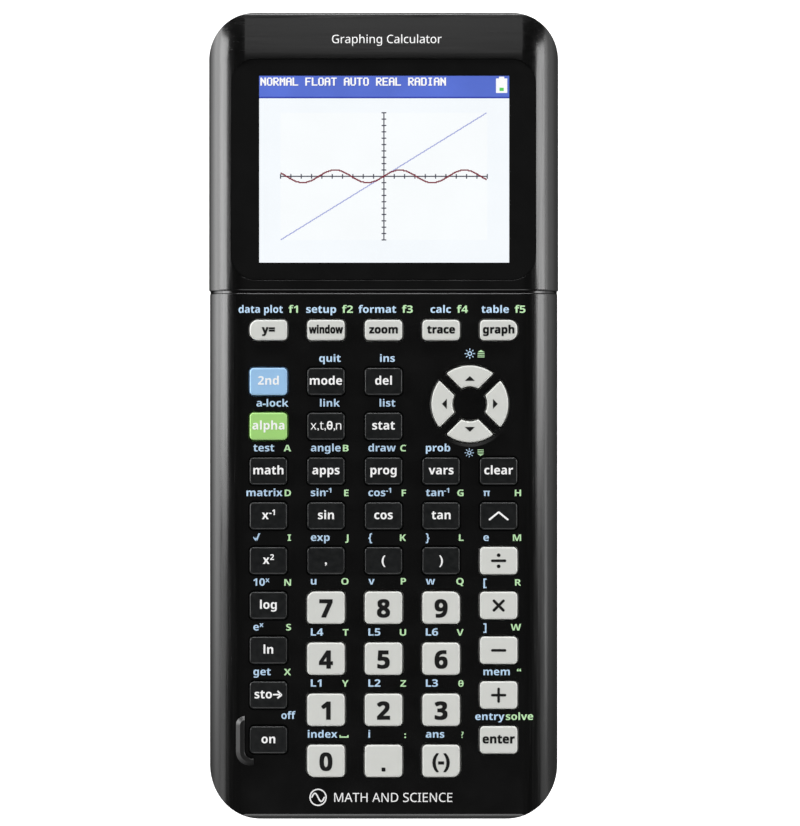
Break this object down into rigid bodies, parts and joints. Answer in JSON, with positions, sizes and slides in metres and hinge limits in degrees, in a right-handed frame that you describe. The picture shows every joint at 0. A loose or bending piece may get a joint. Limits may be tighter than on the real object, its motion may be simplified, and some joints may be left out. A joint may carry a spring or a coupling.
{
  "type": "graphing calculator",
  "caption": "Slim handheld graphing calculator with a colour screen behind a clear window, sprung keys that each press, a round arrow pad and a removable battery.",
  "frame": {"origin": "middle of the plane the rest pads stand on, under the centre of the plan outline", "axes": "+X to the reader's right, +Y along the body towards the screen end, +Z out of the screen and keys"},
  "size_m": [0.0812, 0.1862, 0.0157],
  "materials": {
    "housing": "gloss black",
    "case_back": "fine textured black",
    "window": "clear, black printed border",
    "panel": "lit panel in a steel frame",
    "board": "green solder mask",
    "membrane": "translucent grey silicone",
    "battery": "foil pouch",
    "screws": "blackened steel",
    "key_white": "satin white",
    "key_black": "satin black",
    "key_blue": "satin light blue",
    "key_green": "satin light green"
  },
  "bodies": {
    "body": {"rear_case": "case_back", "display_housing": "housing", "keypad_housing": "housing", "display_window": "window", "lcd_module": "panel", "main_board": "board", "key_membrane": "membrane", "case_screws": "screws"},
    "battery_cover": {"battery_cover": "case_back"},
    "battery": {"battery_pack": "battery"},
    "key_up": {"key_up": "key_white"},
    "key_right": {"key_right": "key_white"},
    "key_down": {"key_down": "key_white"},
    "key_left": {"key_left": "key_white"},
    "key_y_equals": {"key_y_equals": "key_white"},
    "key_window": {"key_window": "key_white"},
    "key_zoom": {"key_zoom": "key_white"},
    "key_trace": {"key_trace": "key_white"},
    "key_graph": {"key_graph": "key_white"},
    "key_second": {"key_second": "key_blue"},
    "key_mode": {"key_mode": "key_black"},
    "key_delete": {"key_delete": "key_black"},
    "key_alpha": {"key_alpha": "key_green"},
    "key_variable": {"key_variable": "key_black"},
    "key_stat": {"key_stat": "key_black"},
    "key_math": {"key_math": "key_black"},
    "key_apps": {"key_apps": "key_black"},
    "key_program": {"key_program": "key_black"},
    "key_vars": {"key_vars": "key_black"},
    "key_clear": {"key_clear": "key_black"},
    "key_reciprocal": {"key_reciprocal": "key_black"},
    "key_sine": {"key_sine": "key_black"},
    "key_cosine": {"key_cosine": "key_black"},
    "key_tangent": {"key_tangent": "key_black"},
    "key_power": {"key_power": "key_black"},
    "key_square": {"key_square": "key_black"},
    "key_comma": {"key_comma": "key_black"},
    "key_open_bracket": {"key_open_bracket": "key_black"},
    "key_close_bracket": {"key_close_bracket": "key_black"},
    "key_divide": {"key_divide": "key_white"},
    "key_log": {"key_log": "key_black"},
    "key_7": {"key_7": "key_white"},
    "key_8": {"key_8": "key_white"},
    "key_9": {"key_9": "key_white"},
    "key_multiply": {"key_multiply": "key_white"},
    "key_ln": {"key_ln": "key_black"},
    "key_4": {"key_4": "key_white"},
    "key_5": {"key_5": "key_white"},
    "key_6": {"key_6": "key_white"},
    "key_minus": {"key_minus": "key_white"},
    "key_store": {"key_store": "key_black"},
    "key_1": {"key_1": "key_white"},
    "key_2": {"key_2": "key_white"},
    "key_3": {"key_3": "key_white"},
    "key_plus": {"key_plus": "key_white"},
    "key_on": {"key_on": "key_black"},
    "key_0": {"key_0": "key_white"},
    "key_point": {"key_point": "key_white"},
    "key_negative": {"key_negative": "key_white"},
    "key_enter": {"key_enter": "key_white"}
  },
  "joints": [
    {"name": "battery_cover_lift", "type": "slide", "parent": "body", "child": "battery_cover", "axis": [0, 0, -1], "range_m": [0, 0.035]},
    {"name": "battery_lift", "type": "slide", "parent": "body", "child": "battery", "axis": [0, 0, -1], "range_m": [0, 0.0175]},
    {"name": "press_up", "type": "slide", "parent": "body", "child": "key_up", "axis": [0, 0, -1], "range_m": [0, 0.0009], "stiffness_N_per_m": 80, "springref_m": -0.006, "deforming": ["key_membrane"]},
    {"name": "press_right", "type": "slide", "parent": "body", "child": "key_right", "axis": [0, 0, -1], "range_m": [0, 0.0009], "stiffness_N_per_m": 80, "springref_m": -0.006, "deforming": ["key_membrane"]},
    {"name": "press_down", "type": "slide", "parent": "body", "child": "key_down", "axis": [0, 0, -1], "range_m": [0, 0.0009], "stiffness_N_per_m": 80, "springref_m": -0.006, "deforming": ["key_membrane"]},
    {"name": "press_left", "type": "slide", "parent": "body", "child": "key_left", "axis": [0, 0, -1], "range_m": [0, 0.0009], "stiffness_N_per_m": 80, "springref_m": -0.006, "deforming": ["key_membrane"]},
    {"name": "press_y_equals", "type": "slide", "parent": "body", "child": "key_y_equals", "axis": [0, 0, -1], "range_m": [0, 0.0009], "stiffness_N_per_m": 80, "springref_m": -0.006, "deforming": ["key_membrane"]},
    {"name": "press_window", "type": "slide", "parent": "body", "child": "key_window", "axis": [0, 0, -1], "range_m": [0, 0.0009], "stiffness_N_per_m": 80, "springref_m": -0.006, "deforming": ["key_membrane"]},
    {"name": "press_zoom", "type": "slide", "parent": "body", "child": "key_zoom", "axis": [0, 0, -1], "range_m": [0, 0.0009], "stiffness_N_per_m": 80, "springref_m": -0.006, "deforming": ["key_membrane"]},
    {"name": "press_trace", "type": "slide", "parent": "body", "child": "key_trace", "axis": [0, 0, -1], "range_m": [0, 0.0009], "stiffness_N_per_m": 80, "springref_m": -0.006, "deforming": ["key_membrane"]},
    {"name": "press_graph", "type": "slide", "parent": "body", "child": "key_graph", "axis": [0, 0, -1], "range_m": [0, 0.0009], "stiffness_N_per_m": 80, "springref_m": -0.006, "deforming": ["key_membrane"]},
    {"name": "press_second", "type": "slide", "parent": "body", "child": "key_second", "axis": [0, 0, -1], "range_m": [0, 0.0009], "stiffness_N_per_m": 80, "springref_m": -0.006, "deforming": ["key_membrane"]},
    {"name": "press_mode", "type": "slide", "parent": "body", "child": "key_mode", "axis": [0, 0, -1], "range_m": [0, 0.0009], "stiffness_N_per_m": 80, "springref_m": -0.006, "deforming": ["key_membrane"]},
    {"name": "press_delete", "type": "slide", "parent": "body", "child": "key_delete", "axis": [0, 0, -1], "range_m": [0, 0.0009], "stiffness_N_per_m": 80, "springref_m": -0.006, "deforming": ["key_membrane"]},
    {"name": "press_alpha", "type": "slide", "parent": "body", "child": "key_alpha", "axis": [0, 0, -1], "range_m": [0, 0.0009], "stiffness_N_per_m": 80, "springref_m": -0.006, "deforming": ["key_membrane"]},
    {"name": "press_variable", "type": "slide", "parent": "body", "child": "key_variable", "axis": [0, 0, -1], "range_m": [0, 0.0009], "stiffness_N_per_m": 80, "springref_m": -0.006, "deforming": ["key_membrane"]},
    {"name": "press_stat", "type": "slide", "parent": "body", "child": "key_stat", "axis": [0, 0, -1], "range_m": [0, 0.0009], "stiffness_N_per_m": 80, "springref_m": -0.006, "deforming": ["key_membrane"]},
    {"name": "press_math", "type": "slide", "parent": "body", "child": "key_math", "axis": [0, 0, -1], "range_m": [0, 0.0009], "stiffness_N_per_m": 80, "springref_m": -0.006, "deforming": ["key_membrane"]},
    {"name": "press_apps", "type": "slide", "parent": "body", "child": "key_apps", "axis": [0, 0, -1], "range_m": [0, 0.0009], "stiffness_N_per_m": 80, "springref_m": -0.006, "deforming": ["key_membrane"]},
    {"name": "press_program", "type": "slide", "parent": "body", "child": "key_program", "axis": [0, 0, -1], "range_m": [0, 0.0009], "stiffness_N_per_m": 80, "springref_m": -0.006, "deforming": ["key_membrane"]},
    {"name": "press_vars", "type": "slide", "parent": "body", "child": "key_vars", "axis": [0, 0, -1], "range_m": [0, 0.0009], "stiffness_N_per_m": 80, "springref_m": -0.006, "deforming": ["key_membrane"]},
    {"name": "press_clear", "type": "slide", "parent": "body", "child": "key_clear", "axis": [0, 0, -1], "range_m": [0, 0.0009], "stiffness_N_per_m": 80, "springref_m": -0.006, "deforming": ["key_membrane"]},
    {"name": "press_reciprocal", "type": "slide", "parent": "body", "child": "key_reciprocal", "axis": [0, 0, -1], "range_m": [0, 0.0009], "stiffness_N_per_m": 80, "springref_m": -0.006, "deforming": ["key_membrane"]},
    {"name": "press_sine", "type": "slide", "parent": "body", "child": "key_sine", "axis": [0, 0, -1], "range_m": [0, 0.0009], "stiffness_N_per_m": 80, "springref_m": -0.006, "deforming": ["key_membrane"]},
    {"name": "press_cosine", "type": "slide", "parent": "body", "child": "key_cosine", "axis": [0, 0, -1], "range_m": [0, 0.0009], "stiffness_N_per_m": 80, "springref_m": -0.006, "deforming": ["key_membrane"]},
    {"name": "press_tangent", "type": "slide", "parent": "body", "child": "key_tangent", "axis": [0, 0, -1], "range_m": [0, 0.0009], "stiffness_N_per_m": 80, "springref_m": -0.006, "deforming": ["key_membrane"]},
    {"name": "press_power", "type": "slide", "parent": "body", "child": "key_power", "axis": [0, 0, -1], "range_m": [0, 0.0009], "stiffness_N_per_m": 80, "springref_m": -0.006, "deforming": ["key_membrane"]},
    {"name": "press_square", "type": "slide", "parent": "body", "child": "key_square", "axis": [0, 0, -1], "range_m": [0, 0.0009], "stiffness_N_per_m": 80, "springref_m": -0.006, "deforming": ["key_membrane"]},
    {"name": "press_comma", "type": "slide", "parent": "body", "child": "key_comma", "axis": [0, 0, -1], "range_m": [0, 0.0009], "stiffness_N_per_m": 80, "springref_m": -0.006, "deforming": ["key_membrane"]},
    {"name": "press_open_bracket", "type": "slide", "parent": "body", "child": "key_open_bracket", "axis": [0, 0, -1], "range_m": [0, 0.0009], "stiffness_N_per_m": 80, "springref_m": -0.006, "deforming": ["key_membrane"]},
    {"name": "press_close_bracket", "type": "slide", "parent": "body", "child": "key_close_bracket", "axis": [0, 0, -1], "range_m": [0, 0.0009], "stiffness_N_per_m": 80, "springref_m": -0.006, "deforming": ["key_membrane"]},
    {"name": "press_divide", "type": "slide", "parent": "body", "child": "key_divide", "axis": [0, 0, -1], "range_m": [0, 0.0009], "stiffness_N_per_m": 80, "springref_m": -0.006, "deforming": ["key_membrane"]},
    {"name": "press_log", "type": "slide", "parent": "body", "child": "key_log", "axis": [0, 0, -1], "range_m": [0, 0.0009], "stiffness_N_per_m": 80, "springref_m": -0.006, "deforming": ["key_membrane"]},
    {"name": "press_7", "type": "slide", "parent": "body", "child": "key_7", "axis": [0, 0, -1], "range_m": [0, 0.0009], "stiffness_N_per_m": 80, "springref_m": -0.006, "deforming": ["key_membrane"]},
    {"name": "press_8", "type": "slide", "parent": "body", "child": "key_8", "axis": [0, 0, -1], "range_m": [0, 0.0009], "stiffness_N_per_m": 80, "springref_m": -0.006, "deforming": ["key_membrane"]},
    {"name": "press_9", "type": "slide", "parent": "body", "child": "key_9", "axis": [0, 0, -1], "range_m": [0, 0.0009], "stiffness_N_per_m": 80, "springref_m": -0.006, "deforming": ["key_membrane"]},
    {"name": "press_multiply", "type": "slide", "parent": "body", "child": "key_multiply", "axis": [0, 0, -1], "range_m": [0, 0.0009], "stiffness_N_per_m": 80, "springref_m": -0.006, "deforming": ["key_membrane"]},
    {"name": "press_ln", "type": "slide", "parent": "body", "child": "key_ln", "axis": [0, 0, -1], "range_m": [0, 0.0009], "stiffness_N_per_m": 80, "springref_m": -0.006, "deforming": ["key_membrane"]},
    {"name": "press_4", "type": "slide", "parent": "body", "child": "key_4", "axis": [0, 0, -1], "range_m": [0, 0.0009], "stiffness_N_per_m": 80, "springref_m": -0.006, "deforming": ["key_membrane"]},
    {"name": "press_5", "type": "slide", "parent": "body", "child": "key_5", "axis": [0, 0, -1], "range_m": [0, 0.0009], "stiffness_N_per_m": 80, "springref_m": -0.006, "deforming": ["key_membrane"]},
    {"name": "press_6", "type": "slide", "parent": "body", "child": "key_6", "axis": [0, 0, -1], "range_m": [0, 0.0009], "stiffness_N_per_m": 80, "springref_m": -0.006, "deforming": ["key_membrane"]},
    {"name": "press_minus", "type": "slide", "parent": "body", "child": "key_minus", "axis": [0, 0, -1], "range_m": [0, 0.0009], "stiffness_N_per_m": 80, "springref_m": -0.006, "deforming": ["key_membrane"]},
    {"name": "press_store", "type": "slide", "parent": "body", "child": "key_store", "axis": [0, 0, -1], "range_m": [0, 0.0009], "stiffness_N_per_m": 80, "springref_m": -0.006, "deforming": ["key_membrane"]},
    {"name": "press_1", "type": "slide", "parent": "body", "child": "key_1", "axis": [0, 0, -1], "range_m": [0, 0.0009], "stiffness_N_per_m": 80, "springref_m": -0.006, "deforming": ["key_membrane"]},
    {"name": "press_2", "type": "slide", "parent": "body", "child": "key_2", "axis": [0, 0, -1], "range_m": [0, 0.0009], "stiffness_N_per_m": 80, "springref_m": -0.006, "deforming": ["key_membrane"]},
    {"name": "press_3", "type": "slide", "parent": "body", "child": "key_3", "axis": [0, 0, -1], "range_m": [0, 0.0009], "stiffness_N_per_m": 80, "springref_m": -0.006, "deforming": ["key_membrane"]},
    {"name": "press_plus", "type": "slide", "parent": "body", "child": "key_plus", "axis": [0, 0, -1], "range_m": [0, 0.0009], "stiffness_N_per_m": 80, "springref_m": -0.006, "deforming": ["key_membrane"]},
    {"name": "press_on", "type": "slide", "parent": "body", "child": "key_on", "axis": [0, 0, -1], "range_m": [0, 0.0009], "stiffness_N_per_m": 80, "springref_m": -0.006, "deforming": ["key_membrane"]},
    {"name": "press_0", "type": "slide", "parent": "body", "child": "key_0", "axis": [0, 0, -1], "range_m": [0, 0.0009], "stiffness_N_per_m": 80, "springref_m": -0.006, "deforming": ["key_membrane"]},
    {"name": "press_point", "type": "slide", "parent": "body", "child": "key_point", "axis": [0, 0, -1], "range_m": [0, 0.0009], "stiffness_N_per_m": 80, "springref_m": -0.006, "deforming": ["key_membrane"]},
    {"name": "press_negative", "type": "slide", "parent": "body", "child": "key_negative", "axis": [0, 0, -1], "range_m": [0, 0.0009], "stiffness_N_per_m": 80, "springref_m": -0.006, "deforming": ["key_membrane"]},
    {"name": "press_enter", "type": "slide", "parent": "body", "child": "key_enter", "axis": [0, 0, -1], "range_m": [0, 0.0009], "stiffness_N_per_m": 80, "springref_m": -0.006, "deforming": ["key_membrane"]}
  ],
  "couplings": [
    {"joint": "battery_lift", "follows": "battery_cover_lift", "ratio": 0.5}
  ]
}
